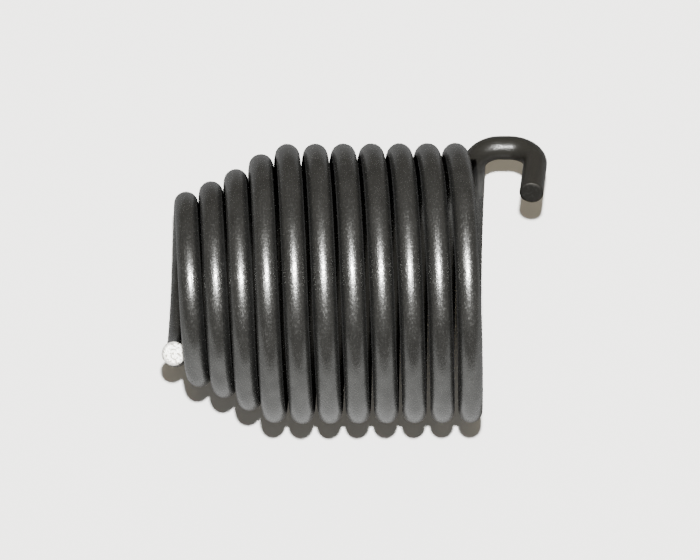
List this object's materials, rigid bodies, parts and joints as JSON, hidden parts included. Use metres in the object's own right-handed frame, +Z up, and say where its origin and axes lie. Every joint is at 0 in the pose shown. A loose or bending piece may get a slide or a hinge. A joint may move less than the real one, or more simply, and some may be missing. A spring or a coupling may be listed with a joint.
{
  "type": "chisel retainer spring",
  "caption": "Close-wound spring of round wire: a straight body for a threaded barrel, a drawn-in nose that holds a tool bit, and a hook-shaped finger end.",
  "frame": {"origin": "on the coil axis, in the plane where the last coil of the body ends and the hook begins", "axes": "+X along the coil axis, from the nose through the body towards the hook; +Z up, with the spring lying on its side; +Y towards the side where the hook stands out"},
  "size_m": [0.058, 0.0438, 0.042],
  "materials": {
    "spring_wire": "oil-tempered spring steel, blackened, satin; the nose's sheared end is bare bright steel"
  },
  "bodies": {
    "root": {"retainer_spring": "spring_wire"}
  },
  "joints": []
}
